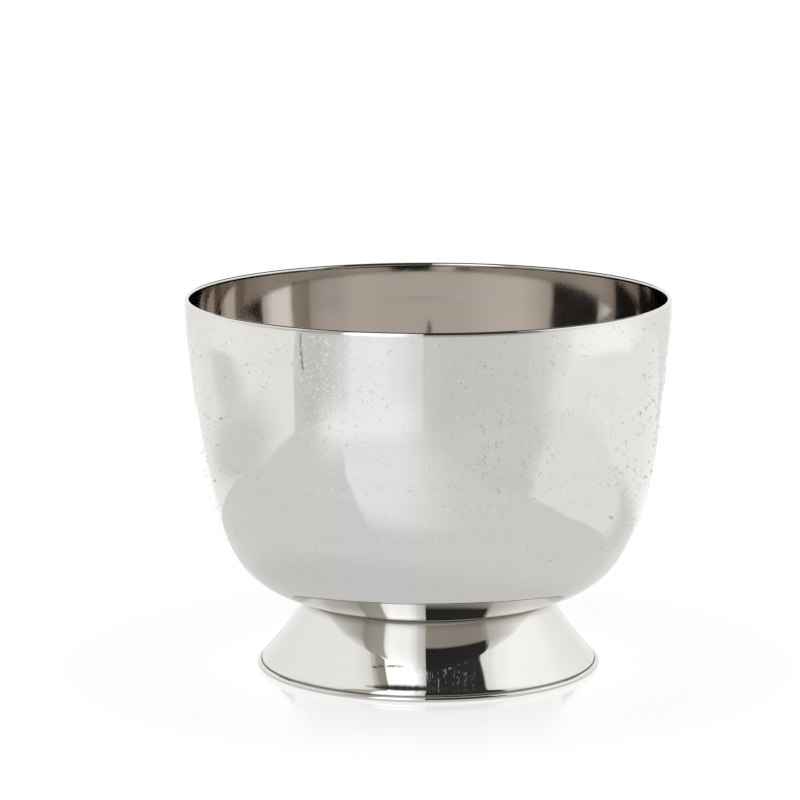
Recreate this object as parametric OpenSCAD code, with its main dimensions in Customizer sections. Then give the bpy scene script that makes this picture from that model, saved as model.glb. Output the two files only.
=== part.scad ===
// Footed champagne bucket: a deep spun bowl on a flared hollow foot, both in polished stainless sheet.
// Origin: centre of the circle on which the foot stands. +Z up, along the axis of the bowl. Millimetres.

/* [Overall] */
// Diameter over the rim bead
rim_d = 380; // [372:1:388]
// Height from the table to the top of the rim
height = 293; // [290:1:298]
// Diameter over the bead at the bottom of the foot
base_d = 270; // [262:1:276]
// Diameter at which the underside of the bowl ends at the edge of its flat bottom
seat_d = 202; // [198:1:204]

/* [Bowl side, from the rim down] */
// Radius of the slightly curved lip
lip_r = 260; // [200:10:350]
// Lean of the straight part of the side, in degrees from upright
side_lean = 6.1; // [5.5:0.1:6.6]
// Length of the straight part of the side
side_len = 82; // [78:1:86]
// Radius of the upper belly
upper_belly_r = 355; // [340:5:370]
// Lean where the upper belly ends
upper_belly_lean = 12.3; // [11.5:0.1:13]
// Radius of the lower belly
lower_belly_r = 183; // [178:1:188]
// Lean where the lower belly ends
lower_belly_lean = 30.2; // [29:0.1:31]
// Radius of the turn into the underside
turn_r = 67; // [64:0.5:70]
// Lean where the turn ends and the shallow curve of the underside begins
turn_lean = 64.8; // [63:0.1:66]
// Radius of that shallow curve
underside_r = 150; // [130:5:170]
// Lean of the underside where it reaches the flat bottom
seat_lean = 72; // [71:0.2:73]
// Radius of the edge between the underside and the flat bottom
seat_edge_r = 3; // [1:0.5:5]

/* [Foot] */
// Radius of the roll that turns the bottom of the skirt upright, above its bead
skirt_roll_r = 5; // [4:0.5:6]
// Outward lean of the skirt where that roll begins
skirt_lean = 43; // [42:0.5:44]
// Radius of the hollow curve of the lower skirt
lower_skirt_r = 238; // [218:5:258]
// Lean where the lower skirt ends
mid_skirt_lean = 32.6; // [31:0.2:34]
// Radius of the hollow curve of the upper skirt
upper_skirt_r = 110; // [104:1:118]
// Radius of the edge between the skirt and the top plate
neck_edge_r = 3; // [1:0.5:5]

/* [Sheet and beads] */
// Thickness of the sheet of the bowl and the foot
sheet_t = 0.9; // [0.7:0.1:1]
// Diameter of the bead rolled inwards along the rim
rim_bead_d = 3.6; // [3.2:0.1:5]
// Diameter of the bead rolled outwards along the foot
foot_bead_d = 4.2; // [3.6:0.1:5]
// Depth ground off the bottom of the foot bead, so that it stands flat
land_cut = 0.15; // [0.05:0.05:0.25]

/* [Centre fixing] */
// Diameter of the weld stud and its nut's thread
stud_d = 8; // [6:1:10]
// Thickness of the rubber disc between the bowl and the foot
gasket_t = 1; // [0.5:0.1:2]
// Diameter of the backing washer inside the foot
backing_d = 60; // [40:1:90]
// Thickness of the backing washer
backing_t = 2; // [1:0.5:3]

/* [Hidden] */

STEEL = "gainsboro";
WIRE = "silver";
RUBBER = "dimgray";
ZINC = "lightsteelblue";

eps = 0.02;            // clearance between pieces that are closed round or pressed on each other
arc_step = 4;          // longest step along a large arc of a section
bead_steps = 24;       // steps round a bead
edge_steps = 6;        // steps round a small edge
smooth = 180;          // $fn of every turned surface
thread_smooth = 48;    // $fn of the fixings

rim_r = rim_d / 2;
base_r = base_d / 2;
seat_r = seat_d / 2;
rim_bead_r = rim_bead_d / 2;
foot_bead_r = foot_bead_d / 2;

rim_curl = 290;        // degrees that the sheet turns to close the rim bead
foot_curl = 300;       // degrees that the sheet turns to close the foot bead

stud_flange_d = 14;
stud_flange_t = 1;
stud_tip = 3;          // thread that stands out below the nut
hole_d = stud_d + 0.4;
spring_t = 2;
spring_d = stud_d * 1.85;
spring_gap = 1.2;
nut_af = 13 / 8 * stud_d;
nut_t = 0.8 * stud_d;
nut_chamfer = 30;

// ---- Sections of bent sheet ----
// A point is [x, z, a]: a is the direction of travel, in degrees from straight down, positive towards the axis.

function last(list) = list[len(list) - 1];

// Points of an arc of radius r that leaves p and ends in direction a; a negative r bends away from the axis.
function bend(p, r, a) =
    let (n = max(edge_steps, ceil(abs(r * (a - p[2]) * PI / 180) / arc_step)))
    bend_in(p, r, a, n);

function bend_in(p, r, a, n) =
    [for (i = [1:n]) let (q = p[2] + (a - p[2]) * i / n)
        [p[0] - r * (cos(p[2]) - cos(q)), p[1] - r * (sin(q) - sin(p[2])), q]];

// Point at the end of a straight run.
function ahead(p, len) = [p[0] - len * sin(p[2]), p[1] - len * cos(p[2]), p[2]];

// The other face of the sheet, towards the axis.
function back_face(run, t) = [for (p = run) [p[0] - t * cos(p[2]), p[1] + t * sin(p[2])]];

function flip(list) = [for (i = [len(list) - 1:-1:0]) list[i]];

module sheet_section(run) {
    polygon(concat([for (p = run) [p[0], p[1]]], flip(back_face(run, sheet_t))));
}

// Bowl, outer face: rim bead, lip, straight side, belly, turn, underside, edge, flat bottom.
rim_bead_c = [rim_r - rim_bead_r, height - rim_bead_r];
curl_start = [rim_bead_c[0] + rim_bead_r * cos(rim_curl), rim_bead_c[1] + rim_bead_r * sin(rim_curl),
              -rim_curl];
bead_run = concat([curl_start], bend_in(curl_start, rim_bead_r, 0, bead_steps));
lip_run = bend(last(bead_run), lip_r, side_lean);
side_end = ahead(last(lip_run), side_len);
upper_belly = bend(side_end, upper_belly_r, upper_belly_lean);
lower_belly = bend(last(upper_belly), lower_belly_r, lower_belly_lean);
turn_run = bend(last(lower_belly), turn_r, turn_lean);
underside = bend(last(turn_run), underside_r, seat_lean);
underside_end = ahead(last(underside), (last(underside)[0] - seat_r) / sin(seat_lean));
seat_edge = bend(underside_end, seat_edge_r, 90);
bowl_bottom_z = last(seat_edge)[1];
bowl_run = concat(bead_run, lip_run, [side_end], upper_belly, lower_belly, turn_run, underside,
                  [underside_end], seat_edge, [[0, bowl_bottom_z, 90]]);

// Foot, outer face: end of the curl, bead, skirt, edge, top plate.
foot_bead_c = [base_r - foot_bead_r, foot_bead_r - land_cut];
plate_z = bowl_bottom_z - gasket_t;
curl_r = foot_bead_r - sheet_t;
curl_top = [foot_bead_c[0] - curl_r, foot_bead_c[1], 0];
foot_curl_run = bend_in(curl_top, -curl_r, -foot_curl, bead_steps);
skirt_end = ahead(curl_top, -foot_bead_r);
skirt_roll = bend_in(skirt_end, skirt_roll_r, -skirt_lean, edge_steps);
lower_skirt = bend(last(skirt_roll), -lower_skirt_r, -mid_skirt_lean);
// The neck's lean is the one at which the hollow curve and the edge end just at the plate.
neck_rise = plate_z - neck_edge_r - last(lower_skirt)[1];
neck_lean = asin((sin(mid_skirt_lean) - neck_rise / upper_skirt_r) / (1 + neck_edge_r / upper_skirt_r));
upper_skirt = bend(last(lower_skirt), -upper_skirt_r, -neck_lean);
neck_edge = bend(last(upper_skirt), neck_edge_r, -90);
foot_run = concat(flip(foot_curl_run), [curl_top, skirt_end], skirt_roll, lower_skirt, upper_skirt,
                  neck_edge, [[0, plate_z, -90]]);

neck_r = last(upper_skirt)[0];
gasket_r = neck_r - neck_edge_r - 1;
backing_top = plate_z - sheet_t;
spring_top = backing_top - backing_t;
nut_top = spring_top - spring_t;
stud_bottom = nut_top - nut_t - stud_tip;

// ---- Parts ----

// Spun in one piece with its rim bead.
module bowl() {
    color(STEEL)
        rotate_extrude($fn = smooth)
            sheet_section(bowl_run);
}

// Steel wire that the rim is rolled round.
module rim_wire() {
    color(WIRE)
        ring_wire(rim_bead_c, rim_bead_r - sheet_t - eps);
}

// Spun in one piece: top plate, flared skirt and bottom bead, which is ground flat underneath.
module foot() {
    color(STEEL)
        difference() {
            rotate_extrude($fn = smooth)
                intersection() {
                    sheet_section(foot_run);
                    square([base_r + 1, height]);
                }
            translate([0, 0, plate_z - sheet_t - 1])
                cylinder(d = hole_d, h = sheet_t + 2, $fn = thread_smooth);
        }
}

// Steel wire inside the bottom bead.
module foot_wire() {
    color(WIRE)
        ring_wire(foot_bead_c, foot_bead_r - sheet_t - eps);
}

module ring_wire(centre, r) {
    rotate_extrude($fn = smooth)
        translate(centre)
            circle(r = r, $fn = thread_smooth);
}

// Rubber disc that keeps water and rattle out of the joint.
module gasket() {
    color(RUBBER)
        translate([0, 0, plate_z])
            difference() {
                cylinder(r = gasket_r, h = gasket_t, $fn = smooth);
                translate([0, 0, -1])
                    cylinder(d = stud_flange_d + 1, h = gasket_t + 2, $fn = thread_smooth);
            }
}

// Flanged stud welded to the underside of the bowl, with a chamfered tip.
module weld_stud() {
    tip = 1;
    color(ZINC) {
        translate([0, 0, bowl_bottom_z - stud_flange_t])
            cylinder(d = stud_flange_d, h = stud_flange_t, $fn = thread_smooth);
        translate([0, 0, stud_bottom + tip])
            cylinder(d = stud_d, h = bowl_bottom_z - stud_flange_t - stud_bottom - tip, $fn = thread_smooth);
        translate([0, 0, stud_bottom])
            cylinder(d1 = stud_d - 2 * tip, d2 = stud_d, h = tip, $fn = thread_smooth);
    }
}

// Wide washer that spreads the nut's pull over the top plate.
module backing_washer() {
    color(ZINC)
        translate([0, 0, spring_top])
            difference() {
                cylinder(d = backing_d, h = backing_t, $fn = smooth);
                translate([0, 0, -1])
                    cylinder(d = hole_d, h = backing_t + 2, $fn = thread_smooth);
            }
}

// Split washer.
module spring_washer() {
    color(WIRE)
        translate([0, 0, nut_top])
            difference() {
                cylinder(d = spring_d, h = spring_t, $fn = thread_smooth);
                translate([0, 0, -1])
                    cylinder(d = hole_d, h = spring_t + 2, $fn = thread_smooth);
                rotate([0, 0, 35])
                    translate([0, -spring_gap / 2, -1])
                        cube([spring_d, spring_gap, spring_t + 2]);
            }
}

// Hexagon nut with chamfered corners.
module nut() {
    corner_d = nut_af / cos(30);
    cut = (corner_d - nut_af) / 2 * tan(nut_chamfer);
    color(ZINC)
        translate([0, 0, nut_top - nut_t])
            difference() {
                intersection() {
                    cylinder(d = corner_d, h = nut_t, $fn = 6);
                    rotate_extrude($fn = thread_smooth)
                        polygon([[0, 0], [nut_af / 2, 0], [corner_d / 2, cut], [corner_d / 2, nut_t - cut],
                                 [nut_af / 2, nut_t], [0, nut_t]]);
                }
                translate([0, 0, -1])
                    cylinder(d = stud_d + 2 * eps, h = nut_t + 2, $fn = thread_smooth);
            }
}

bowl();
rim_wire();
foot();
foot_wire();
gasket();
weld_stud();
backing_washer();
spring_washer();
nut();
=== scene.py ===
"""Footed champagne bucket in polished stainless sheet, beaded with condensation, on a glossy white table."""
import math
import random

import bpy
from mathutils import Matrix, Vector, noise


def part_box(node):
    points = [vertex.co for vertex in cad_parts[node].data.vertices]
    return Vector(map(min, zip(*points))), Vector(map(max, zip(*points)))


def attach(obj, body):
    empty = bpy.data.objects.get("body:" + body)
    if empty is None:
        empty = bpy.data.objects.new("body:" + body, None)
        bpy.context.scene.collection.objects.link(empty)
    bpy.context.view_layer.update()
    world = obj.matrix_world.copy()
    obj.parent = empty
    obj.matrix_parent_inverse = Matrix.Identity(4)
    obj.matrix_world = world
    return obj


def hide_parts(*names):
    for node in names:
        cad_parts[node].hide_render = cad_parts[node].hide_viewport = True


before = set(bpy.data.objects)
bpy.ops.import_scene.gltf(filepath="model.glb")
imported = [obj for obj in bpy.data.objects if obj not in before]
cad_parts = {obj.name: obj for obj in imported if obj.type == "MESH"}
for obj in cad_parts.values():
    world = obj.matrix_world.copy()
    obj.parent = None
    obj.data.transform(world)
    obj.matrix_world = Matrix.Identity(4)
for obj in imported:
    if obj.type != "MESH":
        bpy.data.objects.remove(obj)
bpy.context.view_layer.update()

MM = 0.001
TURN = 2 * math.pi


# ---- Sections of bent sheet -------------------------------------------------------------------
# A point is (x, z, a): x from the axis, z up, and a the direction of travel in degrees from straight
# down, positive towards the axis.

def bend(point, radius, lean, step):
    """Points of an arc from point to direction lean; a negative radius bends away from the axis."""
    x, z, start = point
    count = max(6, math.ceil(abs(radius * math.radians(lean - start)) / step))
    run = []
    for i in range(1, count + 1):
        a = start + (lean - start) * i / count
        dx = math.cos(math.radians(start)) - math.cos(math.radians(a))
        dz = math.sin(math.radians(a)) - math.sin(math.radians(start))
        run.append((x - radius * dx, z - radius * dz, a))
    return run


def ahead(point, length, step):
    """Points along a straight run."""
    x, z, a = point
    count = max(1, math.ceil(abs(length) / step))
    dx, dz = math.sin(math.radians(a)), math.cos(math.radians(a))
    return [(x - dx * length * i / count, z - dz * length * i / count, a) for i in range(1, count + 1)]


def back_face(run, thickness):
    """The other face of the sheet, towards the axis, in the opposite order."""
    face = []
    for x, z, a in reversed(run):
        r = math.radians(a)
        face.append((x - thickness * math.cos(r), z + thickness * math.sin(r)))
    return face


SHEET = 0.9 * MM
ARC_STEP = 2.5 * MM
BEAD_STEP = 0.35 * MM
EDGE_STEP = 0.5 * MM
FLAT_STEP = 12 * MM

RIM_BEAD_R = 1.8 * MM
RIM_CURL = 290
FOOT_BEAD_R = 2.1 * MM
FOOT_CURL = 300

bowl_low, bowl_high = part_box("bowl")
foot_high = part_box("foot")[1]
HEIGHT = bowl_high.z
RIM_R = bowl_high.x
BOWL_BOTTOM = bowl_low.z
BASE_R = foot_high.x
PLATE_TOP = foot_high.z

# each stretch of the bowl's wall: the radius of its arc and the lean at its end
SIDE_R, SIDE_LEAN = 260 * MM, 6.1
SIDE_LENGTH = 82 * MM
UPPER_BELLY_R, UPPER_BELLY_LEAN = 355 * MM, 12.3
LOWER_BELLY_R, LOWER_BELLY_LEAN = 183 * MM, 30.2
TURN_R, TURN_LEAN = 67 * MM, 64.8
UNDERSIDE_R, SEAT_LEAN = 150 * MM, 72
SEAT_EDGE_R = 3 * MM

# the foot: how much of its bead is ground flat to stand on, then its skirt from the bead upwards
LAND_CUT = 0.15 * MM
SKIRT_ROLL_R = 5 * MM
SKIRT_LEAN = 43
LOWER_SKIRT_R = 238 * MM
MID_SKIRT_LEAN = 32.6
UPPER_SKIRT_R = 110 * MM
NECK_EDGE_R = 3 * MM


def bowl_run():
    """Outer face of the bowl, from the end of the rim's curl down to the middle of the flat bottom."""
    cx, cz = RIM_R - RIM_BEAD_R, HEIGHT - RIM_BEAD_R
    curl = math.radians(RIM_CURL)
    start = (cx + RIM_BEAD_R * math.cos(curl), cz + RIM_BEAD_R * math.sin(curl), -RIM_CURL)
    run = [start]
    run += bend(run[-1], RIM_BEAD_R, 0, BEAD_STEP)
    run += bend(run[-1], SIDE_R, SIDE_LEAN, ARC_STEP)
    run += ahead(run[-1], SIDE_LENGTH, ARC_STEP)
    run += bend(run[-1], UPPER_BELLY_R, UPPER_BELLY_LEAN, ARC_STEP)
    run += bend(run[-1], LOWER_BELLY_R, LOWER_BELLY_LEAN, ARC_STEP)
    run += bend(run[-1], TURN_R, TURN_LEAN, ARC_STEP)
    run += bend(run[-1], UNDERSIDE_R, SEAT_LEAN, ARC_STEP)
    # the underside runs straight on to where the edge of the flat bottom begins
    drop = SEAT_EDGE_R * (1 - math.sin(math.radians(SEAT_LEAN)))
    straight = (run[-1][1] - BOWL_BOTTOM - drop) / math.cos(math.radians(SEAT_LEAN))
    run += ahead(run[-1], straight, ARC_STEP)
    run += bend(run[-1], SEAT_EDGE_R, 90, EDGE_STEP)
    run += ahead(run[-1], run[-1][0], FLAT_STEP)
    return run


def foot_run():
    """Outer face of the foot, from the end of the bead's curl up the skirt to the middle of the top plate."""
    curl_r = FOOT_BEAD_R - SHEET
    cx, cz = BASE_R - FOOT_BEAD_R, FOOT_BEAD_R - LAND_CUT
    curl_top = (cx - curl_r, cz, 0)
    curl = bend(curl_top, -curl_r, -FOOT_CURL, BEAD_STEP / 2)
    run = list(reversed(curl)) + [curl_top]
    run += ahead(run[-1], -FOOT_BEAD_R, BEAD_STEP)
    run += bend(run[-1], SKIRT_ROLL_R, -SKIRT_LEAN, EDGE_STEP)
    run += bend(run[-1], -LOWER_SKIRT_R, -MID_SKIRT_LEAN, ARC_STEP)
    rise = PLATE_TOP - NECK_EDGE_R - run[-1][1]
    sine = math.sin(math.radians(MID_SKIRT_LEAN)) - rise / UPPER_SKIRT_R
    neck_lean = math.degrees(math.asin(sine / (1 + NECK_EDGE_R / UPPER_SKIRT_R)))
    run += bend(run[-1], -UPPER_SKIRT_R, -neck_lean, ARC_STEP)
    run += bend(run[-1], NECK_EDGE_R, -90, EDGE_STEP)
    return run


# ---- Meshes --------------------------------------------------------------------------------------

def new_piece(name, vertices, faces, materials, sharp=None):
    """A piece of the object: a smooth shaded mesh that rides on the one body."""
    mesh = bpy.data.meshes.new(name)
    mesh.from_pydata(vertices, [], faces)
    mesh.validate()
    for material in materials:
        mesh.materials.append(material)
    mesh.polygons.foreach_set("use_smooth", [True] * len(mesh.polygons))
    if sharp is not None:
        mesh.set_sharp_from_angle(angle=math.radians(sharp))
    piece = bpy.data.objects.new(name, mesh)
    bpy.context.scene.collection.objects.link(piece)
    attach(piece, "root")
    return piece


def grid_faces(rows, columns, close_rows=False):
    """Faces of a grid of rings, each closed round; close_rows joins the last ring to the first."""
    faces = []
    last = rows if close_rows else rows - 1
    for i in range(last):
        low, high = i * columns, (i + 1) % rows * columns
        for j in range(columns):
            k = (j + 1) % columns
            faces.append((low + j, low + k, high + k, high + j))
    return faces


def lathe(section, segments):
    """Closed solid turned round the z axis. section is a closed outline that may touch the axis."""
    vertices, rings = [], []
    for x, z in section:
        if x < 0.001 * MM:
            rings.append([len(vertices)] * segments)
            vertices.append((0, 0, z))
            continue
        rings.append(range(len(vertices), len(vertices) + segments))
        for j in range(segments):
            turn = TURN * j / segments
            vertices.append((x * math.cos(turn), x * math.sin(turn), z))
    faces = []
    for i, ring in enumerate(rings):
        following = rings[(i + 1) % len(rings)]
        for j in range(segments):
            k = (j + 1) % segments
            corners = [ring[j], following[j], following[k], ring[k]]
            face = tuple(dict.fromkeys(corners))
            if len(face) > 2:
                faces.append(face)
    return vertices, faces


def rounded(corners, radius, steps=4):
    """A convex outline with each corner turned into a small arc."""
    outline = []
    count = len(corners)
    for i in range(count):
        before, here, after = (Vector(corners[(i + k) % count]) for k in (-1, 0, 1))
        inward, outward = (before - here).normalized(), (after - here).normalized()
        for s in range(steps + 1):
            t = s / steps
            a, b = here + inward * radius * (1 - t) ** 2, here + outward * radius * t ** 2
            outline.append(tuple(a + b - here))
    return outline


# ---- Material nodes ------------------------------------------------------------------------------

def add_node(tree, kind, inputs=None, **settings):
    """One shader node; an input is a socket to link from or a plain value."""
    made = tree.nodes.new(kind)
    for key, value in settings.items():
        setattr(made, key, value)
    for key, value in (inputs or {}).items():
        if isinstance(value, bpy.types.NodeSocket):
            tree.links.new(value, made.inputs[key])
        else:
            made.inputs[key].default_value = value
    return made


def calc(tree, operation, *values, clamp=False):
    """Result of a Math node."""
    inputs = dict(enumerate(values))
    return add_node(tree, "ShaderNodeMath", inputs, operation=operation, use_clamp=clamp).outputs[0]


def remap(tree, value, low, high, to_low, to_high):
    """value moved from the range low..high to to_low..to_high, and held inside it."""
    inputs = {"Value": value, "From Min": low, "From Max": high, "To Min": to_low, "To Max": to_high}
    return add_node(tree, "ShaderNodeMapRange", inputs).outputs[0]


def new_material(name):
    """Empty node material and its tree, output node and object coordinates."""
    material = bpy.data.materials.new(name)
    material.use_nodes = True
    tree = material.node_tree
    tree.nodes.clear()
    output = tree.nodes.new("ShaderNodeOutputMaterial")
    place = add_node(tree, "ShaderNodeTexCoord").outputs["Object"]
    return material, tree, output, place


def noise_of(tree, place, scale, detail=2, **inputs):
    """Noise at scale features a metre, stretched by the three factors where stretch is given."""
    stretch = inputs.pop("stretch", None)
    if stretch:
        place = add_node(tree, "ShaderNodeMapping", {"Vector": place, "Scale": stretch}).outputs[0]
    values = {"Vector": place, "Scale": scale, "Detail": detail, **inputs}
    return add_node(tree, "ShaderNodeTexNoise", values).outputs["Fac"]


def reach_of(tree, x, y):
    """Distance from the axis."""
    square = calc(tree, "ADD", calc(tree, "MULTIPLY", x, x), calc(tree, "MULTIPLY", y, y))
    return calc(tree, "SQRT", square)


def turned(tree, place):
    """Coordinates (radius, height, angle) of a point of a turned surface."""
    x, y, z = add_node(tree, "ShaderNodeSeparateXYZ", {0: place}).outputs
    angle = calc(tree, "ARCTAN2", y, x)
    return add_node(tree, "ShaderNodeCombineXYZ", {0: reach_of(tree, x, y), 1: z, 2: angle}).outputs[0]


def bump_chain(tree, layers):
    """Bump nodes one on another; each layer is (height, strength, distance)."""
    normal = None
    for height, strength, distance in layers:
        inputs = {"Height": height, "Strength": strength, "Distance": distance}
        if normal is not None:
            inputs["Normal"] = normal
        normal = add_node(tree, "ShaderNodeBump", inputs).outputs[0]
    return normal


STEEL_COLOUR = (0.722, 0.714, 0.681, 1)
# the inside's satin finish is the sheet's own; its darker, warmer colour is painted shade inside the bowl
SHADED_SATIN_COLOUR = (0.61, 0.57, 0.53, 1)
# colour of the painted shade in the foot's creases
CREASE_SHADE_COLOUR = (0.26, 0.23, 0.20, 1)

# painted shade in the crease above the foot's bead: where it fades out to the side, above and below
BEAD_SHADE_REACH = (132.2 * MM, 132.7 * MM)
BEAD_SHADE_TOP = (4.4 * MM, 5.3 * MM)
BEAD_SHADE_FOOT = (2.6 * MM, 3.2 * MM)
# and painted shade on the neck, up under the bowl where its seat shades it: how far down it goes, and the
# radius outside which it lies
NECK_SHADE_DEPTH = 8 * MM
NECK_SHADE_REACH = (96.9 * MM, 97.3 * MM)
NECK_SHADE_SHARE = 0.85


def painted_crease_shade(tree, round_place, colour):
    """The steel's colour, darkened by painted shade in the crease above the foot's bead and on the neck up
    under the bowl.
    """
    radius, height = add_node(tree, "ShaderNodeSeparateXYZ", {0: round_place}).outputs[:2]
    inner = remap(tree, radius, *BEAD_SHADE_REACH, 1, 0)
    upper = remap(tree, height, *BEAD_SHADE_TOP, 1, 0)
    lower = remap(tree, height, *BEAD_SHADE_FOOT, 0, 1)
    bead = calc(tree, "MULTIPLY", calc(tree, "MULTIPLY", inner, upper), lower)
    near_top = remap(tree, height, PLATE_TOP - NECK_SHADE_DEPTH, PLATE_TOP - 1 * MM, 0, 1)
    outside = remap(tree, radius, *NECK_SHADE_REACH, 0, NECK_SHADE_SHARE)
    neck = calc(tree, "MULTIPLY", calc(tree, "MULTIPLY", near_top, near_top), outside)
    mix = {"Factor": calc(tree, "MAXIMUM", bead, neck), "A": colour, "B": CREASE_SHADE_COLOUR}
    return add_node(tree, "ShaderNodeMix", mix, data_type="RGBA").outputs["Result"]


def polished_steel(name, colour, low_rough, high_rough, line_depth, scratch_depth, crease_shaded=False):
    """Buffed stainless sheet: faint turning lines, hair scratches and wiped smudges."""
    material, tree, output, place = new_material(name)
    round_place = turned(tree, place)
    lines = noise_of(tree, round_place, 1, 3, stretch=(900, 900, 0.35))
    slow_lines = noise_of(tree, round_place, 1, 1, stretch=(130, 130, 0.3))
    hair = noise_of(tree, place, 1, 4, stretch=(260, 260, 2600), Distortion=0.6)
    smudge = noise_of(tree, place, 16, 4, Distortion=1.2)
    wipe = noise_of(tree, place, 1, 3, stretch=(9, 9, 30), Distortion=0.8)
    smudged = remap(tree, smudge, 0.42, 0.72, 0, 1)
    haze = calc(tree, "MULTIPLY", smudged, remap(tree, wipe, 0.35, 0.65, 0.2, 1))
    roughness = remap(tree, haze, 0, 1, low_rough, high_rough)
    shade = remap(tree, slow_lines, 0.3, 0.7, 0.0, 1.0)
    dim = tuple(0.985 * c for c in colour[:3]) + (1,)
    mix = {"Factor": shade, "A": dim, "B": colour}
    tone = add_node(tree, "ShaderNodeMix", mix, data_type="RGBA").outputs["Result"]
    # painted shade in the foot's creases, over the steel's own colour
    if crease_shaded:
        tone = painted_crease_shade(tree, round_place, tone)
    layers = [(lines, line_depth, 0.02 * MM), (hair, scratch_depth, 0.015 * MM)]
    steel = add_node(tree, "ShaderNodeBsdfPrincipled", {
        "Base Color": tone,
        "Metallic": 1.0,
        "Roughness": roughness,
        "Normal": bump_chain(tree, layers),
    })
    tree.links.new(steel.outputs[0], output.inputs["Surface"])
    return material


def plated_steel(name, colour, rough):
    """Zinc-plated or drawn steel of the fixings: a little mottled, with fine tool marks."""
    material, tree, output, place = new_material(name)
    mottle = noise_of(tree, place, 900, 4)
    marks = noise_of(tree, turned(tree, place), 1, 2, stretch=(5000, 5000, 2))
    shade = remap(tree, mottle, 0.35, 0.65, 0, 1)
    dim = tuple(0.8 * c for c in colour[:3]) + (1,)
    tone = add_node(tree, "ShaderNodeMix", {"Factor": shade, "A": dim, "B": colour}, data_type="RGBA")
    steel = add_node(tree, "ShaderNodeBsdfPrincipled", {
        "Base Color": tone.outputs["Result"],
        "Metallic": 1.0,
        "Roughness": remap(tree, mottle, 0.3, 0.7, rough * 0.8, rough * 1.3),
        "Normal": bump_chain(tree, [(marks, 0.25, 0.02 * MM), (mottle, 0.15, 0.02 * MM)]),
    })
    tree.links.new(steel.outputs[0], output.inputs["Surface"])
    return material


def moulded_rubber(name):
    """Dark sheet rubber with a fine stipple and a dusty bloom."""
    material, tree, output, place = new_material(name)
    stipple = noise_of(tree, place, 4200, 2)
    bloom = noise_of(tree, place, 70, 5, Distortion=0.5)
    dark, pale = (0.018, 0.018, 0.019, 1), (0.045, 0.045, 0.047, 1)
    shade = remap(tree, bloom, 0.35, 0.7, 0, 1)
    tone = add_node(tree, "ShaderNodeMix", {"Factor": shade, "A": dark, "B": pale}, data_type="RGBA")
    rubber = add_node(tree, "ShaderNodeBsdfPrincipled", {
        "Base Color": tone.outputs["Result"],
        "Roughness": remap(tree, bloom, 0.3, 0.7, 0.55, 0.75),
        "Normal": bump_chain(tree, [(stipple, 0.4, 0.05 * MM)]),
    })
    tree.links.new(rubber.outputs[0], output.inputs["Surface"])
    return material


def water(name, sparkle):
    """Clear water; sparkle is a faint glow, in place of the small lights that a drop gathers."""
    material, tree, output, place = new_material(name)
    swell = noise_of(tree, place, 700, 1)
    drop = add_node(tree, "ShaderNodeBsdfPrincipled", {
        "Base Color": (1, 1, 1, 1),
        "Roughness": 0.0,
        "IOR": 1.333,
        "Transmission Weight": 1.0,
        "Emission Color": (1, 1, 1, 1),
        "Emission Strength": sparkle,
        "Normal": bump_chain(tree, [(swell, 0.15, 0.1 * MM)]),
    })
    tree.links.new(drop.outputs[0], output.inputs["Surface"])
    return material


# name, colour, lowest and highest roughness, depth of the turning lines and of the scratches
BOWL_OUTSIDE = polished_steel("bowl_outside_steel", STEEL_COLOUR, 0.018, 0.05, 0.05, 0.03)
SHADED_BOWL_INSIDE = polished_steel("bowl_inside_shaded_steel", SHADED_SATIN_COLOUR, 0.05, 0.11, 0.16, 0.06)
# the foot's steel is darkened by painted shade in its creases
FOOT_STEEL = polished_steel("foot_steel", STEEL_COLOUR, 0.01, 0.035, 0.03, 0.02, crease_shaded=True)
WIRE_STEEL = plated_steel("drawn_wire_steel", (0.66, 0.65, 0.62, 1), 0.22)
ZINC = plated_steel("zinc_plated_steel", (0.70, 0.72, 0.74, 1), 0.3)
SPRING_STEEL = plated_steel("blued_spring_steel", (0.30, 0.31, 0.33, 1), 0.32)
RUBBER = moulded_rubber("gasket_rubber_skin")
DROP_WATER = water("condensed_water", 0.0)
FINE_DROP_WATER = water("fine_condensed_water", 0.085)


# ---- The bowl and the foot -----------------------------------------------------------------------

SHELL_SEGMENTS = 288
DISC_SEGMENTS = 192
HOLE_R = 4.2 * MM
# a ring in the foot's flat top plate, so that its faces don't get too long
PLATE_RING_R = 60 * MM


def spun_unevenness(x, y, z):
    """Radial error that the spinning tool leaves in a sheet, in metres."""
    slow = noise.noise(Vector((x, y, z)) * 9)
    bands = noise.noise(Vector((0.3, 0.7, z * 60)))
    return (0.05 * slow + 0.012 * bands) * MM


def uneven(vertices):
    """The vertices with the spinning error added to their radius."""
    moved = []
    for x, y, z in vertices:
        radius = math.hypot(x, y)
        grow = 1 + spun_unevenness(x, y, z) / radius if radius > 0.02 else 1
        moved.append((x * grow, y * grow, z))
    return moved


def make_bowl():
    """Spun bowl with its rolled rim, polished outside and satin inside, where its colour is darker and warmer
    as painted shade.
    """
    run = bowl_run()
    inner = back_face(run, SHEET)
    section = [(x, z) for x, z, a in run] + inner
    vertices, faces = lathe(section, SHELL_SEGMENTS)
    shell = new_piece("bowl_shell", uneven(vertices), faces, [BOWL_OUTSIDE, SHADED_BOWL_INSIDE], sharp=35)
    inside_r = RIM_R - 2 * RIM_BEAD_R
    for polygon in shell.data.polygons:
        centre = polygon.center
        towards_axis = polygon.normal.x * centre.x + polygon.normal.y * centre.y <= 0
        upward = polygon.normal.z > 0.5 and math.hypot(centre.x, centre.y) < inside_r
        if (towards_axis or upward) and centre.z < HEIGHT - 2 * RIM_BEAD_R:
            polygon.material_index = 1
    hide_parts("bowl")
    return run


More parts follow.
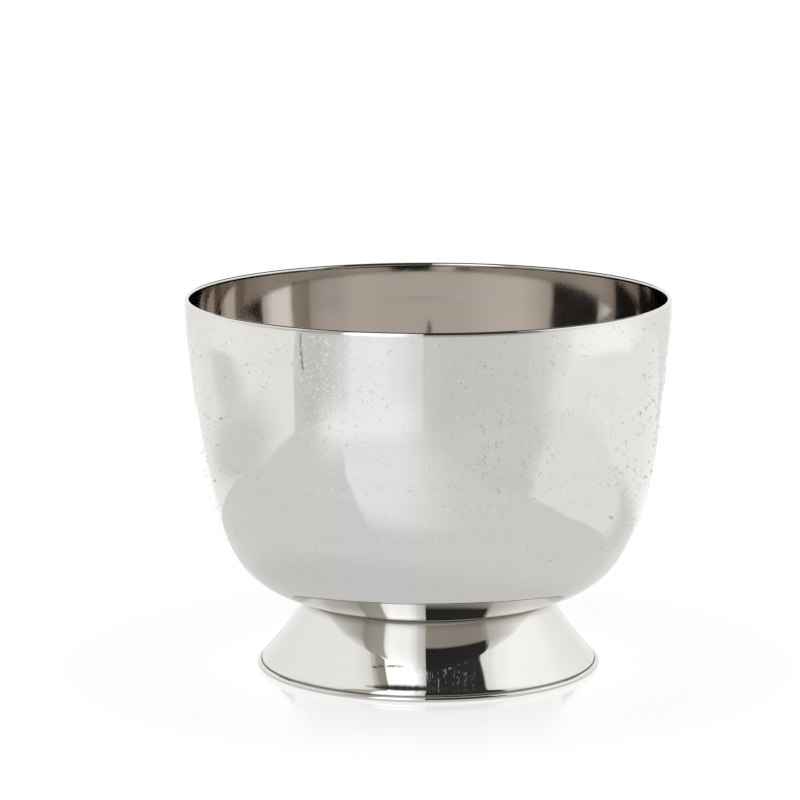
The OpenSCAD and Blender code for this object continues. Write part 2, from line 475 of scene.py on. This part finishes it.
def make_foot():
    """Spun foot: bead, flared skirt and top plate with its hole."""
    run = foot_run()
    outer = [(x, z) for x, z, a in run] + [(PLATE_RING_R, PLATE_TOP), (HOLE_R, PLATE_TOP)]
    under = PLATE_TOP - SHEET
    section = outer + [(HOLE_R, under), (PLATE_RING_R, under)] + back_face(run, SHEET)
    section = [(x, max(z, 0)) for x, z in reversed(section)]
    vertices, faces = lathe(section, SHELL_SEGMENTS)
    shell = new_piece("foot_shell", uneven(vertices), faces, [FOOT_STEEL], sharp=35)
    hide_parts("foot")


bowl_section = make_bowl()
make_foot()

for wire in ("rim_wire", "foot_wire"):
    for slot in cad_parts[wire].material_slots:
        slot.material = WIRE_STEEL


# ---- The centre fixing, inside the foot ------------------------------------------------------------

PITCH = 1.25 * MM
THREAD_R = 4 * MM
THREAD_DEPTH = 0.75 * MM
THREAD_STEPS = 32
FLANK_SLOPE, CREST_FLAT = 1.18, 0.12
SOFT_EDGE = 0.18 * MM


def thread_radius(turn, z, crest):
    """Radius of a right-hand V thread with a flat crest and a rounded root."""
    phase = (z / PITCH - turn) % 1.0
    flank = min(1.0, max(0.0, abs(phase - 0.5) * 2 * FLANK_SLOPE - CREST_FLAT))
    return crest - THREAD_DEPTH * flank


def ring_of(radius_at, z):
    """Ring of THREAD_STEPS points at height z."""
    ring = []
    for j in range(THREAD_STEPS):
        turn = j / THREAD_STEPS
        radius = radius_at(turn, z)
        ring.append((radius * math.cos(TURN * turn), radius * math.sin(TURN * turn), z))
    return ring


def make_stud():
    """Weld stud: flange, weld fillet, undercut, rolled thread and chamfered tip."""
    low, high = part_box("weld_stud")
    flange_r = high.x
    flange_z = high.z - 1 * MM
    neck_z = flange_z - 1.2 * MM
    tip = 1 * MM

    def radius_at(turn, z):
        from_tip = z - low.z
        chamfer = THREAD_R - tip + from_tip
        fade = min(1.0, max(0.0, (neck_z - z) / PITCH))
        thread = thread_radius(turn, z, THREAD_R)
        return min(chamfer, thread * fade + (THREAD_R - THREAD_DEPTH / 2) * (1 - fade))

    vertices = [(0, 0, low.z)]
    rows = round((neck_z - low.z) / PITCH * THREAD_STEPS)
    for i in range(rows + 1):
        vertices += ring_of(radius_at, low.z + PITCH * i / THREAD_STEPS)
    shank_r = THREAD_R - THREAD_DEPTH / 2
    fillet = 0.8 * MM
    outline = [(shank_r, flange_z - fillet)]
    for k in range(1, 7):
        a = math.radians(15 * k)
        outline.append((shank_r + fillet * (1 - math.cos(a)), flange_z - fillet * (1 - math.sin(a))))
    outline += [(flange_r - SOFT_EDGE, flange_z), (flange_r, flange_z + SOFT_EDGE), (flange_r, high.z)]
    for radius, z in outline:
        vertices += ring_of(lambda turn, height, r=radius: r, z)
    rings = rows + 1 + len(outline)
    faces = [tuple(k + 1 for k in face) for face in grid_faces(rings, THREAD_STEPS)]
    vertices.append((0, 0, high.z))
    last = 1 + (rings - 1) * THREAD_STEPS
    for j in range(THREAD_STEPS):
        k = (j + 1) % THREAD_STEPS
        faces.append((0, 1 + k, 1 + j))
        faces.append((last + j, last + k, len(vertices) - 1))
    stud = new_piece("threaded_stud", vertices, faces, [ZINC], sharp=38)
    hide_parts("weld_stud")


def make_nut():
    """Hexagon nut: chamfered corners, countersunk and threaded bore."""
    low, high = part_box("nut")
    across_flats = high.y - low.y
    across_corners = high.x - low.x
    if across_flats > across_corners:
        across_flats, across_corners = across_corners, across_flats
    flats_r = across_flats / 2
    segments = THREAD_STEPS * 3
    slope = math.tan(math.radians(30))

    def outer_radius(turn, z):
        side = (turn * 360 + 30) % 60 - 30
        hexagon = flats_r / math.cos(math.radians(side - 30 if side > 0 else side + 30))
        from_face = min(z - low.z, high.z - z)
        return min(hexagon, flats_r - SOFT_EDGE + from_face / slope)

    def bore_radius(turn, z):
        from_face = min(z - low.z, high.z - z)
        return max(thread_radius(turn, z, THREAD_R + 0.04 * MM), THREAD_R + 0.4 * MM - from_face)

    rings = []
    cut = (across_corners / 2 - flats_r) * slope + SOFT_EDGE
    chamfer = [cut * k / 8 for k in range(9)]
    heights = [low.z + c for c in chamfer] + [high.z - c for c in reversed(chamfer)]
    rings += [(outer_radius, z) for z in heights]
    rows = round((high.z - low.z) / PITCH * THREAD_STEPS)
    rings += [(bore_radius, high.z - (high.z - low.z) * i / rows) for i in range(rows + 1)]
    vertices = []
    for radius_at, z in rings:
        for j in range(segments):
            turn = j / segments
            radius = radius_at(turn, z)
            vertices.append((radius * math.cos(TURN * turn), radius * math.sin(TURN * turn), z))
    nut = new_piece("hex_nut", vertices, grid_faces(len(rings), segments, True), [ZINC], sharp=24)
    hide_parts("nut")


def make_split_washer():
    """Spring washer: a square-section ring with an oblique cut."""
    low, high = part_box("spring_washer")
    outer_r = (high.x - low.x) / 2
    inner_r = HOLE_R
    gap = math.degrees(1.2 * MM / outer_r)
    start = 35 + gap / 2
    corners = [(inner_r, low.z), (outer_r, low.z), (outer_r, high.z), (inner_r, high.z)]
    outline = rounded(corners, SOFT_EDGE)
    segments = 120
    vertices = []
    for i in range(segments + 1):
        for x, z in outline:
            lean = 9 * (z - (low.z + high.z) / 2) / (high.z - low.z)
            turn = math.radians(start + (360 - gap) * i / segments + lean)
            vertices.append((x * math.cos(turn), x * math.sin(turn), z))
    count = len(outline)
    faces = []
    for i in range(segments):
        for j in range(count):
            k = (j + 1) % count
            here, there = i * count, (i + 1) * count
            faces.append((here + j, here + k, there + k, there + j))
    faces.append(tuple(reversed(range(count))))
    faces.append(tuple(segments * count + j for j in range(count)))
    faces = [tuple(reversed(face)) for face in faces]
    washer = new_piece("split_washer", vertices, faces, [SPRING_STEEL], sharp=40)
    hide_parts("spring_washer")


def make_disc(name, node, hole_r, material, edge):
    """Flat ring with eased edges, such as a washer or a gasket."""
    low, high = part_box(node)
    corners = [(hole_r, low.z), (high.x, low.z), (high.x, high.z), (hole_r, high.z)]
    section = list(reversed(rounded(corners, edge)))
    vertices, faces = lathe(section, DISC_SEGMENTS)
    disc = new_piece(name, vertices, faces, [material], sharp=40)
    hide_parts(node)


make_stud()
make_nut()
make_split_washer()
make_disc("plate_washer", "backing_washer", HOLE_R, ZINC, 0.3 * MM)
make_disc("rubber_gasket", "gasket", 7.5 * MM, RUBBER, 0.25 * MM)


# ---- Condensation ----------------------------------------------------------------------------------

DROP_COUNT = 3600
FINE_DROP_COUNT = 6000
DROP_SINK = 0.06 * MM
# drops lie between this height and the rim
DROP_FLOOR = 0.085
# rings of a drop from its foot up: share of its radius, and share of its height
DROP_RINGS = ((1.04, None), (0.90, 0.45), (0.58, 0.83))
FINE_DROP_RINGS = ((1.04, None), (0.72, 0.70))


def wall_at(z):
    """Radius and lean of the bowl's outer face at height z."""
    for above, below in zip(bowl_section, bowl_section[1:]):
        if below[1] <= z <= above[1] and above[2] > -1:
            share = (above[1] - z) / max(above[1] - below[1], 1e-9)
            mix = [a + (b - a) * share for a, b in zip(above, below)]
            return mix[0], mix[2]
    return None


# where the drops are thickest: azimuth and its spread in degrees, height and its spread, share
DROP_CLUSTERS = (
    (-20, 13, 0.230, 0.055, 0.22),
    (18, 20, 0.220, 0.060, 0.60),
    (-55, 18, 0.200, 0.050, 0.30),
    (60, 25, 0.190, 0.050, 0.30),
    (150, 60, 0.210, 0.050, 0.25),
    (-130, 40, 0.210, 0.050, 0.25),
)
FINE_DROP_CLUSTERS = (
    (-25, 12, 0.240, 0.050, 1.0),
    (-25, 9, 0.268, 0.022, 0.9),
    (-12, 12, 0.215, 0.050, 0.35),
    (18, 20, 0.220, 0.055, 0.15),
)


def drop_density(azimuth, z, clusters):
    """Share of drops kept at a place on the wall."""
    kept = 0.10 if z > 0.13 else 0.10 * max(0.0, (z - DROP_FLOOR) / 0.045)
    for centre, spread, height, tall, share in clusters:
        off = (azimuth - centre + 180) % 360 - 180
        kept += share * math.exp(-(off / spread) ** 2 - ((z - height) / tall) ** 2)
    turn = math.radians(azimuth)
    patchy = noise.noise(Vector((math.cos(turn) * 6, math.sin(turn) * 6, z * 40)))
    return kept * max(0.1, 0.8 + 1.4 * patchy)


def drop_mesh(rand, radius, azimuth, z, rings, vertices, faces):
    """One bead of water: a low cap, its foot sunk just below the face of the steel."""
    wall_r, lean = wall_at(z)
    turn, tilt = math.radians(azimuth - 90), math.radians(lean)
    out = Vector((math.cos(turn) * math.cos(tilt), math.sin(turn) * math.cos(tilt), -math.sin(tilt)))
    across = Vector((-math.sin(turn), math.cos(turn), 0))
    along = out.cross(across)
    grow = spun_unevenness(wall_r * math.cos(turn), wall_r * math.sin(turn), z)
    centre = Vector((math.cos(turn) * (wall_r + grow), math.sin(turn) * (wall_r + grow), z))
    tall = radius * rand.uniform(0.72, 1.0)
    # the biggest drops sag
    stretch = 1 + max(0.0, rand.gauss(0.0, 0.08)) + 60 * max(0.0, radius - 0.9 * MM)
    sides = 6 if len(rings) == 2 else 8
    wobble = [1 + rand.uniform(-0.07, 0.07) for _ in range(sides)]
    start = len(vertices)
    for share, rise in rings:
        lift = -DROP_SINK if rise is None else tall * rise
        for i in range(sides):
            a = TURN * i / sides
            reach = radius * share * wobble[i]
            offset = across * (reach * math.cos(a)) + along * (reach * stretch * math.sin(a))
            vertices.append(tuple(centre + offset + out * lift))
    vertices.append(tuple(centre + out * tall))
    top = len(vertices) - 1
    faces.append(tuple(start + i for i in reversed(range(sides))))
    for ring in range(len(rings) - 1):
        low, high = start + ring * sides, start + (ring + 1) * sides
        for i in range(sides):
            k = (i + 1) % sides
            faces.append((low + i, low + k, high + k, high + i))
    high = start + (len(rings) - 1) * sides
    for i in range(sides):
        faces.append((high + i, high + (i + 1) % sides, top))


def make_dew(name, material, clusters, seed, count, rings, middle, smallest, largest):
    """Beads of water scattered over the outside of the bowl; their usual and extreme radii are in mm."""
    rand = random.Random(seed)
    vertices, faces = [], []
    made = 0
    while made < count:
        azimuth, z = rand.uniform(-180, 180), rand.uniform(DROP_FLOOR, HEIGHT - 5 * MM)
        if rand.random() > drop_density(azimuth, z, clusters):
            continue
        radius = min(largest, max(smallest, middle * rand.lognormvariate(0, 0.38)))
        drop_mesh(rand, radius * MM, azimuth, z, rings, vertices, faces)
        made += 1
    new_piece(name, vertices, faces, [material])


make_dew("dew", DROP_WATER, DROP_CLUSTERS, 11, DROP_COUNT, DROP_RINGS, 0.52, 0.36, 1.3)
make_dew(
    "fine_dew", FINE_DROP_WATER, FINE_DROP_CLUSTERS, 12, FINE_DROP_COUNT, FINE_DROP_RINGS, 0.40, 0.25, 0.7
)


# ---- Table, studio and camera ----------------------------------------------------------------------
# The table is white to the camera. What the steel mirrors is painted on a second table and a dome that
# the camera doesn't see: tones are given as they look in the steel, so they are divided by its colour.

STEEL_SHARE = 0.714


def smooth(value, low, high):
    """0 below low, 1 above high, with a soft change between."""
    t = min(1.0, max(0.0, (value - low) / (high - low)))
    return t * t * (3 - 2 * t)


def along(stops, value):
    """Tone between stops of (place, tone)."""
    for (a, tone_a), (b, tone_b) in zip(stops, stops[1:]):
        if value <= b:
            return tone_a + (tone_b - tone_a) * smooth(value, a, b)
    return stops[-1][1]


def inside(x, y, patch):
    """How far a point lies inside a soft-edged, turned ellipse: 0 to 1."""
    cx, cy, rx, ry, turn, soft = patch
    c, s = math.cos(math.radians(turn)), math.sin(math.radians(turn))
    u = ((x - cx) * c + (y - cy) * s) / rx
    v = ((y - cy) * c - (x - cx) * s) / ry
    return 1 - smooth(math.hypot(u, v), 1 - soft / 2, 1 + soft / 2)


def near_line(x, y, start, end, width):
    """1 on a straight stroke from start to end, 0 beyond its width."""
    dx, dy = end[0] - start[0], end[1] - start[1]
    t = ((x - start[0]) * dx + (y - start[1]) * dy) / (dx * dx + dy * dy)
    if not 0 <= t <= 1:
        return 0.0
    off = math.hypot(x - start[0] - t * dx, y - start[1] - t * dy)
    return 1 - smooth(off, width * 0.4, width)


# azimuth on the table, in degrees from the camera towards the right, and the tone that lies there
TABLE_SECTORS = (
    (-180, 0.70), (-162, 0.66), (-152, 0.64), (-140, 0.69), (-126, 0.73), (-104, 0.78), (-80, 0.75),
    (-61.5, 0.74), (-60.5, 0.56), (-50, 0.51), (-44, 0.55), (-38, 0.62), (-32, 0.78), (-20, 0.79),
    (-12, 0.73), (-5, 0.66), (-2.6, 0.64), (-1.6, 0.555), (10, 0.53), (40, 0.55), (50, 0.605),
    (60, 0.685), (72, 0.845), (85, 0.88), (100, 0.87), (110, 0.80), (125, 0.70), (140, 0.66),
    (152, 0.62), (165, 0.66), (180, 0.70),
)

# soft patches on the table: centre, radii, turn, softness and tone, from the far ones to the near ones
TABLE_PATCHES = (
    ((-0.30, 0.65, 0.20, 0.42, 12, 0.5), 0.87),
    ((-0.76, 0.55, 0.24, 0.75, 8, 0.5), 0.71),
    ((-0.93, 0.28, 0.11, 0.24, 15, 1.1), 0.60),
    ((0.75, 0.52, 0.52, 0.38, 25, 0.25), 0.745),
    ((0.62, 0.05, 0.50, 0.50, 0, 0.35), 0.755),
    ((-0.69, 0.12, 0.14, 0.30, -10, 1.0), 0.57),
    ((0.12, -0.20, 0.56, 0.50, 0, 0.30), 0.57),
    ((0.50, -0.16, 0.27, 0.27, 0, 0.30), 0.70),
    ((0.22, -0.47, 0.20, 0.12, 15, 0.5), 0.55),
    ((-0.15, -0.20, 0.51, 0.51, 0, 0.02), 0.58),
    ((0.24, 0.20, 0.07, 0.15, -20, 0.4), 0.60),
    ((-0.04, -0.03, 0.20, 0.20, 0, 0.35), 0.53),
)

# the lighter wedge in front of the disc: two corners of its edge, and the band of light beyond it
WEDGE_START, WEDGE_END = (-0.40, -0.53), (-0.20, -0.37)
WEDGE_TONE = 0.735
BAND_REACH, BAND_WIDTH, BAND_TONE = 0.73, 0.06, 0.82
# a dark straight line on the table, at the left
LINE_START, LINE_END, LINE_TONE = (-0.735, -0.495), (-1.65, -1.005), 0.28


def table_tone(x, y):
    """Tone that the table gives the steel at a point, in metres from the axis."""
    azimuth = math.degrees(math.atan2(x, -y))
    reach = math.hypot(x, y)
    tone = along(TABLE_SECTORS, azimuth)
    for patch, patch_tone in TABLE_PATCHES:
        tone += (patch_tone - tone) * inside(x, y, patch)
    # softbox glow on the near table, in front of the disc's straight edge
    edge_x, edge_y = WEDGE_END[0] - WEDGE_START[0], WEDGE_END[1] - WEDGE_START[1]
    side = (edge_x * (y - WEDGE_END[1]) - edge_y * (x - WEDGE_END[0])) / math.hypot(edge_x, edge_y)
    glow = smooth(-side, -0.006, 0.006) * (1 - smooth(x, -0.16, 0.16)) * (1 - smooth(y, -0.42, -0.30))
    glow *= smooth(azimuth, -52, -40)
    tone += (WEDGE_TONE - tone) * glow * (1 - smooth(reach, 0.62, 0.74))
    band = math.exp(-((reach - BAND_REACH) / BAND_WIDTH) ** 2)
    band = band * smooth(azimuth, -54, -40) * (1 - smooth(azimuth, -16, 4))
    tone += (BAND_TONE - tone) * band
    tone += (LINE_TONE - tone) * near_line(x, y, LINE_START, LINE_END, 0.012 + 0.006 * abs(x))
    return tone


# azimuth over the camera and the brightness of the studio there: high up, and low down
HIGH_STOPS = (
    (-180, 1.0), (-150, 1.0), (-120, 1.06), (-80, 1.08), (-70, 1.00), (-65, 0.92), (-61, 0.62),
    (-57, 0.36), (-50.5, 0.33), (-48.5, 1.75), (-20, 1.70), (-12, 1.15), (-5.2, 0.72), (-4.6, 0.03),
    (50, 0.035), (51.5, 0.08), (54.5, 0.92), (60, 1.0), (70, 1.18), (85, 1.26), (105, 1.23),
    (130, 1.10), (150, 1.0), (180, 1.0),
)
LOW_STOPS = (
    (-180, 1.0), (-150, 1.0), (-112, 1.05), (-92, 0.76), (-80, 0.70), (-65, 0.60), (-61, 0.44),
    (-50, 0.52), (-43, 0.56), (-40, 1.5), (-36, 1.72), (-20, 1.65), (-15, 1.42), (-10, 1.02),
    (-5.2, 0.82), (-4.6, 0.46), (0, 0.42), (25, 0.39), (45, 0.40), (49, 0.50), (54, 0.76), (62, 0.84),
    (72, 0.95), (85, 1.12), (120, 1.08), (150, 1.0), (180, 1.0),
)
CEILING_TONE = 0.05
# the whole studio stands a little to the right of the bucket
STUDIO_TURN = 2.5
PANEL_LEFT, PANEL_RIGHT = (-5.2, -4.6), (46, 54)
# painted tears in the dome's lights stand in for the drops on the belly, which tear the edges between the
# bowl and the lights, as the foot shows them
TEAR_EL, TEAR_BEND = 61.6, 0.0014
CEILING_EL, CEILING_BENDS = 69.0, (0.0014, 0.0018)
GAP_TONE, GLINT_TONE = 0.10, 0.30
# a tone above this is a light, which the tear can cut
LIT_TONE = 0.3
# the azimuth about which the tear and the ceiling bend
BEND_MIDDLE = 7.5


def torn(azimuth, elevation, seed):
    """Uneven noise from -1 to 1 that changes quickly sideways."""
    return noise.noise(Vector((azimuth * 0.9, elevation * 0.12, seed)))


def dome_tone(azimuth, elevation):
    """Brightness of the studio in a direction, in degrees."""
    azimuth -= STUDIO_TURN
    # the right edge of the dark panel leans outwards near its top
    edge = azimuth - 1.2 * max(0.0, min(elevation, 66) - 53) if azimuth > 10 else azimuth
    high, low = along(HIGH_STOPS, edge), along(LOW_STOPS, azimuth)
    panel = smooth(azimuth, *PANEL_LEFT) * (1 - smooth(azimuth, *PANEL_RIGHT))
    if panel > 0.5:
        share = smooth(elevation, 4.5, 9.5)
    elif -61 < azimuth < 0:
        share = smooth(elevation, 40, 48)
    else:
        share = smooth(elevation, 0, 28)
    tone = low + (high - low) * share
    # above the lights the studio is dark
    aside = azimuth - BEND_MIDDLE
    ceiling = CEILING_EL - CEILING_BENDS[0 if aside < 0 else 1] * aside * aside
    ceiling += 0.35 * torn(azimuth, 0, 3.5)
    tone += (CEILING_TONE - tone) * smooth(elevation, ceiling - 1.0, ceiling + 0.6)
    if -62 < azimuth < 52:
        tear = TEAR_EL - TEAR_BEND * aside * aside + 0.35 * torn(azimuth, 0, 8.5)
        gap = math.exp(-((elevation - tear) / 0.42) ** 2) * smooth(torn(azimuth, elevation, 1.5), -0.6, -0.1)
        if tone > LIT_TONE:
            tone += (GAP_TONE - tone) * gap
        glint = smooth(torn(azimuth * 0.7, elevation * 5, 5.5), 0.25, 0.5)
        glint *= math.exp(-((elevation - tear - 2) / 3.5) ** 2)
        tone += (GLINT_TONE - tone) * glint * panel * 0.8
    return max(0.02, tone)


def tinted(tone, azimuth, warm):
    """Colour of a tone: the softbox is a little cool, dim (not black) parts are warm by the share given."""
    cool = smooth(azimuth, -45, -35) * (1 - smooth(azimuth, -10, 0))
    warmth = warm * smooth(tone, 0.05, 0.3) * (1 - smooth(tone, 0.3, 0.9))
    return tone * (1 - 0.015 * cool + 0.10 * warmth), tone, tone * (1 + 0.045 * cool - 0.10 * warmth)


def painted(name, vertices, faces, colour_at, glossy=False):
    """Part of the studio that glows with the colour at each of its points, unseen by the camera."""
    mesh = bpy.data.meshes.new(name)
    mesh.from_pydata(vertices, [], faces)
    glow = mesh.attributes.new("glow", "FLOAT_COLOR", "POINT")
    colours = []
    for vertex in vertices:
        colours += [*colour_at(*vertex), 1]
    glow.data.foreach_set("color", colours)
    material = bpy.data.materials.new(name + "_glow")
    material.use_nodes = True
    tree = material.node_tree
    tree.nodes.clear()
    colour = add_node(tree, "ShaderNodeAttribute", attribute_name="glow").outputs["Color"]
    surface = add_node(tree, "ShaderNodeEmission", {"Color": colour}).outputs[0]
    if glossy:
        # the polished table mirrors the studio where it is seen at a very flat angle
        facing = add_node(tree, "ShaderNodeLayerWeight", {"Blend": 0.5}).outputs["Facing"]
        mirror = add_node(tree, "ShaderNodeBsdfGlossy", {"Color": (1, 1, 1, 1), "Roughness": 0.0}).outputs[0]
        share = remap(tree, facing, 0.86, 0.91, 0, 1)
        surface = add_node(tree, "ShaderNodeMixShader", {0: share, 1: surface, 2: mirror}).outputs[0]
    output = tree.nodes.new("ShaderNodeOutputMaterial")
    tree.links.new(surface, output.inputs["Surface"])
    material.cycles.emission_sampling = "NONE"
    mesh.materials.append(material)
    stage = bpy.data.objects.new(name, mesh)
    bpy.context.scene.collection.objects.link(stage)
    stage.visible_camera = False
    stage.visible_shadow = False
    return stage


STUDIO_R = 6.0
AROUND = 720
TABLE_SIZE = 4.0
# the mirrored table: radius of its first ring, growth from ring to ring, and how many rings
TABLE_FIRST_R, TABLE_GROWTH, TABLE_RINGS = 0.05, 1.013, 370
# rows of the dome: first elevation, spacing in degrees and count
STUDIO_ROWS = ((-2, 0.8, 70), (54, 0.25, 72), (72, 1.2, 15))


def mirrored_table():
    """Table as the steel sees it."""
    rings = [TABLE_FIRST_R * TABLE_GROWTH ** i for i in range(TABLE_RINGS)]
    vertices = []
    for ring in rings:
        for j in range(AROUND):
            turn = TURN * j / AROUND
            vertices.append((ring * math.sin(turn), -ring * math.cos(turn), -0.4 * MM))

    def colour_at(x, y, z):
        return tinted(table_tone(x, y) / STEEL_SHARE, math.degrees(math.atan2(x, -y)), 0)

    middle = tuple(reversed(range(AROUND)))
    painted("mirrored_table", vertices, grid_faces(len(rings), AROUND) + [middle], colour_at, glossy=True)


def mirrored_studio():
    """Dome of light and dark flags round the table, finest where the foot looks up past the bowl."""
    steps = [start + spacing * i for start, spacing, count in STUDIO_ROWS for i in range(count)]
    rows = len(steps)
    vertices = []
    for step in steps:
        elevation = math.radians(step)
        for j in range(AROUND):
            turn = TURN * j / AROUND
            flat = STUDIO_R * math.cos(elevation)
            vertices.append((flat * math.sin(turn), -flat * math.cos(turn), STUDIO_R * math.sin(elevation)))

    def colour_at(x, y, z):
        azimuth = math.degrees(math.atan2(x, -y))
        tone = dome_tone(azimuth, math.degrees(math.asin(max(-1, min(1, z / STUDIO_R)))))
        return tinted(tone, azimuth, 1)

    faces = grid_faces(rows, AROUND) + [tuple(range((rows - 1) * AROUND, rows * AROUND))]
    painted("mirrored_studio", vertices, faces, colour_at)


def seen_table():
    """White glossy table for the camera, which mirrors the foot and then fades to plain white."""
    side = TABLE_SIZE
    corners = [(-side, -side), (side, -side), (side, side), (-side, side)]
    mesh = bpy.data.meshes.new("table")
    mesh.from_pydata([(x, y, -0.2 * MM) for x, y in corners], [], [(0, 1, 2, 3)])
    material, tree, output, place = new_material("white_table")
    position = add_node(tree, "ShaderNodeNewGeometry").outputs["Position"]
    x, y = add_node(tree, "ShaderNodeSeparateXYZ", {0: position}).outputs[:2]
    radius = reach_of(tree, x, y)
    share = remap(tree, radius, 0.13, 0.30, 0.26, 0.0)
    rough = remap(tree, radius, 0.135, 0.26, 0.06, 0.35)
    gloss = add_node(tree, "ShaderNodeBsdfGlossy", {"Color": (1, 1, 1, 1), "Roughness": rough})
    white = add_node(tree, "ShaderNodeEmission", {"Color": (1, 1, 1, 1), "Strength": 1.0})
    top = add_node(tree, "ShaderNodeMixShader", {0: share, 1: white.outputs[0], 2: gloss.outputs[0]})
    clear = tree.nodes.new("ShaderNodeBsdfTransparent")
    under = add_node(tree, "ShaderNodeNewGeometry").outputs["Backfacing"]
    both = add_node(tree, "ShaderNodeMixShader", {0: under, 1: top.outputs[0], 2: clear.outputs[0]})
    tree.links.new(both.outputs[0], output.inputs["Surface"])
    material.cycles.emission_sampling = "NONE"
    mesh.materials.append(material)
    table = bpy.data.objects.new("table", mesh)
    bpy.context.scene.collection.objects.link(table)
    table.visible_glossy = table.visible_diffuse = False
    table.visible_transmission = table.visible_shadow = False


def white_world():
    """Plain white beyond the table."""
    world = bpy.data.worlds.new("white_studio")
    world.use_nodes = True
    background = world.node_tree.nodes["Background"]
    background.inputs["Color"].default_value = (1, 1, 1, 1)
    background.inputs["Strength"].default_value = 1.0
    bpy.context.scene.world = world


LENS, LENS_SHIFT = 176.86, -0.03525
CAMERA_PLACE, CAMERA_DOWN = (0, -3.03758, 0.73886), 9.872


def place_camera():
    """Long lens well above the rim, looking down at CAMERA_DOWN degrees and shifted a little sideways."""
    data = bpy.data.cameras.new("camera")
    data.sensor_width = 36
    data.lens = LENS
    data.shift_x = LENS_SHIFT
    data.clip_start, data.clip_end = 0.1, 50
    camera = bpy.data.objects.new("camera", data)
    camera.location = CAMERA_PLACE
    camera.rotation_euler = (math.radians(90 - CAMERA_DOWN), 0, 0)
    bpy.context.scene.collection.objects.link(camera)
    bpy.context.scene.camera = camera


mirrored_table()
mirrored_studio()
seen_table()
white_world()
place_camera()

scene = bpy.context.scene
scene.view_settings.view_transform = "Standard"
scene.view_settings.look = "None"
